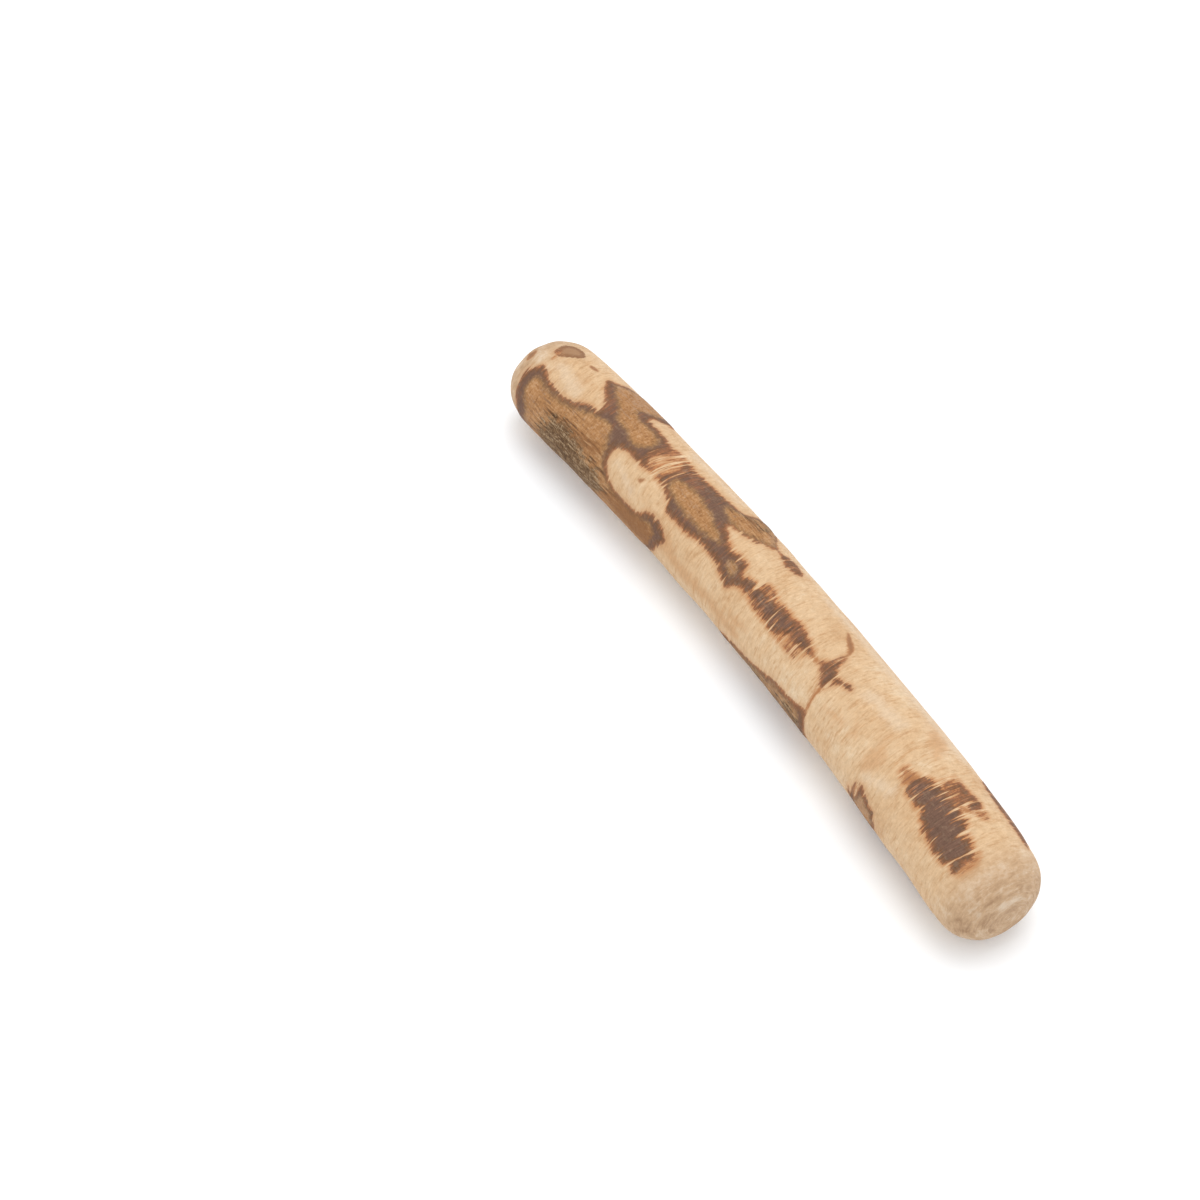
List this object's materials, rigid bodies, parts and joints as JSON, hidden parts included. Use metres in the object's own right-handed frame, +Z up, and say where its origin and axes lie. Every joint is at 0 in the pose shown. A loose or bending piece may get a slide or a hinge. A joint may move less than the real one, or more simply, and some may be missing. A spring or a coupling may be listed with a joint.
{
  "type": "wood log",
  "caption": "Short, slightly bent length of peeled stem with rounded sawn ends, lying on its side; pale wood with patches of brown bark left on it.",
  "frame": {"origin": "bottom centre of the log's box, on the surface that it lies on", "axes": "+X along the log towards its thicker end, the butt; +Z up; the log's bow is level and points towards +Y"},
  "size_m": [0.225, 0.034, 0.0293],
  "materials": {
    "wood": "peeled and rubbed smooth, with patches of brown bark left on; satin"
  },
  "bodies": {
    "root": {"log": "wood"}
  },
  "joints": []
}
